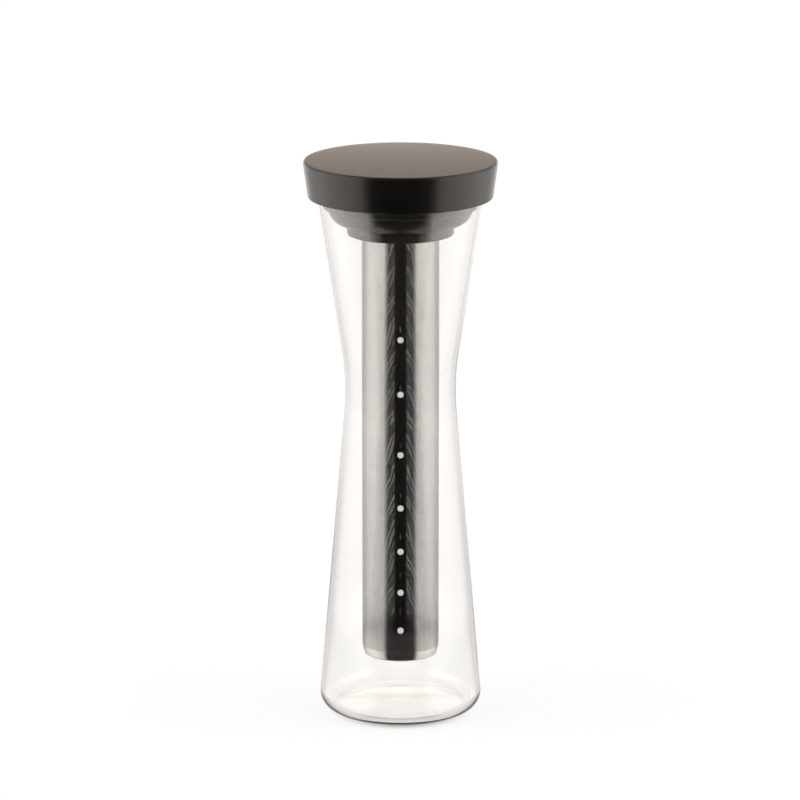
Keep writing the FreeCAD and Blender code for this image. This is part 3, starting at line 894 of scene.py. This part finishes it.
def floor_finish():
    """White floor that keeps the shadow, with a look of its own in reflections."""
    made = bpy.data.materials.new("studio_floor")
    made.use_nodes = True
    made.cycles.emission_sampling = "NONE"
    tree = made.node_tree
    tree.nodes.clear()
    place = node(tree, "ShaderNodeTexCoord").outputs["Object"]
    x, y, z = node(tree, "ShaderNodeSeparateXYZ", {"Vector": place}).outputs
    turn = turn_from_front(tree, x, y)
    distance = node(tree, "ShaderNodeVectorMath", {0: place}, operation="LENGTH").outputs["Value"]
    picture = picture_ray(tree)
    lit = node(tree, "ShaderNodeBsdfDiffuse", {"Color": mixed(tree, picture, FLOOR_COLOUR, PICTURE_FLOOR)})
    lift = node(tree, "ShaderNodeEmission", {"Color": (1, 1, 1, 1)})
    lifted = maths(tree, "MULTIPLY", picture, FLOOR_LIFT)
    shade = floor_shade(tree, x, y, turn, distance)
    feed(tree, lift.inputs["Strength"], maths(tree, "MULTIPLY", lifted, shade))
    shown = node(tree, "ShaderNodeAddShader")
    tree.links.new(lit.outputs[0], shown.inputs[0])
    tree.links.new(lift.outputs[0], shown.inputs[1])
    path = node(tree, "ShaderNodeLightPath").outputs
    reflected = maths(tree, "GREATER_THAN", path["Glossy Depth"], 0.5)
    both = node(tree, "ShaderNodeMixShader", {"Fac": reflected})
    tree.links.new(shown.outputs[0], both.inputs[1])
    tree.links.new(mirrored_floor(tree, path, turn, distance).outputs[0], both.inputs[2])
    output = node(tree, "ShaderNodeOutputMaterial")
    tree.links.new(both.outputs[0], output.inputs["Surface"])
    return made


def studio_floor():
    """Flat round floor just under the foot: one face whose corners lie on a circle."""
    steps = 96
    angles = np.arange(steps) * 2 * math.pi / steps
    rim = FLOOR_RADIUS * np.stack([np.cos(angles), np.sin(angles), 0 * angles], axis=-1)
    rim[:, 2] = -FLOOR_DROP
    mesh = bpy.data.meshes.new("studio_floor")
    mesh.from_pydata(rim.tolist(), [], [list(range(steps))])
    mesh.materials.append(floor_finish())
    floor = bpy.data.objects.new("studio_floor", mesh)
    bpy.context.scene.collection.objects.link(floor)


def camera():
    """Camera in front of the object, looking a little down at its middle."""
    data = bpy.data.cameras.new("camera")
    data.lens = LENS
    data.sensor_width = SENSOR
    seen_from = bpy.data.objects.new("camera", data)
    bpy.context.scene.collection.objects.link(seen_from)
    back = CAMERA_DISTANCE * math.cos(CAMERA_ELEVATION)
    rise = CAMERA_DISTANCE * math.sin(CAMERA_ELEVATION)
    seen_from.location = (CAMERA_TARGET[0], CAMERA_TARGET[1] - back, CAMERA_TARGET[2] + rise)
    seen_from.rotation_euler = (math.pi / 2 - CAMERA_ELEVATION, 0, 0)
    bpy.context.scene.camera = seen_from


# ---------------------------------------------------------------- dressing

def dress(piece, finish, slot, body, *nodes):
    """Gives a new piece its finish, the body that it rides on and the nodes that it replaces. Its slot is not
    used.
    """
    piece.data.materials.append(finish)
    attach(piece, body)
    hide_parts(*nodes)


def repaint(name, finish):
    """Gives a node of the frame a new finish."""
    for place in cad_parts[name].material_slots:
        place.material = finish


def main():
    """Builds every piece, then the studio and the camera."""
    glass = clear_glass()
    lid_plastic = satin_plastic("lid_plastic", LID_BLACK, roughness=0.21, ior=1.45, grain=0.003 * MM)
    stopper_plastic = satin_plastic("stopper_plastic", STOPPER_BLACK, roughness=0.2, ior=1.66, grain=0.002 * MM)
    dots = enamel()
    soft = silicone()
    dress(carafe(), glass, "clear_glass", "carafe", "glass_carafe")
    for number in range(1, DOT_COUNT + 1):
        dress(dot(number), dots, "mark_enamel", "carafe", "volume_mark_%d" % number)
    dress(lid_shell(), lid_plastic, "lid_plastic", "lid", "lid_cap")
    dress(seal_ring(), soft, "seal_silicone", "lid", "mouth_seal")
    dress(tube(), perforated_steel(), "filter_steel", "filter", "filter_tube")
    dress(cup(), plain_steel(), "filter_steel", "filter", "filter_base")
    repaint("lid_plug", stopper_plastic)
    repaint("filter_collar", stopper_plastic)
    repaint("filter_gasket", soft)
    studio_world()
    studio_floor()
    camera()
    view = bpy.context.scene.view_settings
    view.view_transform = "Standard"


main()
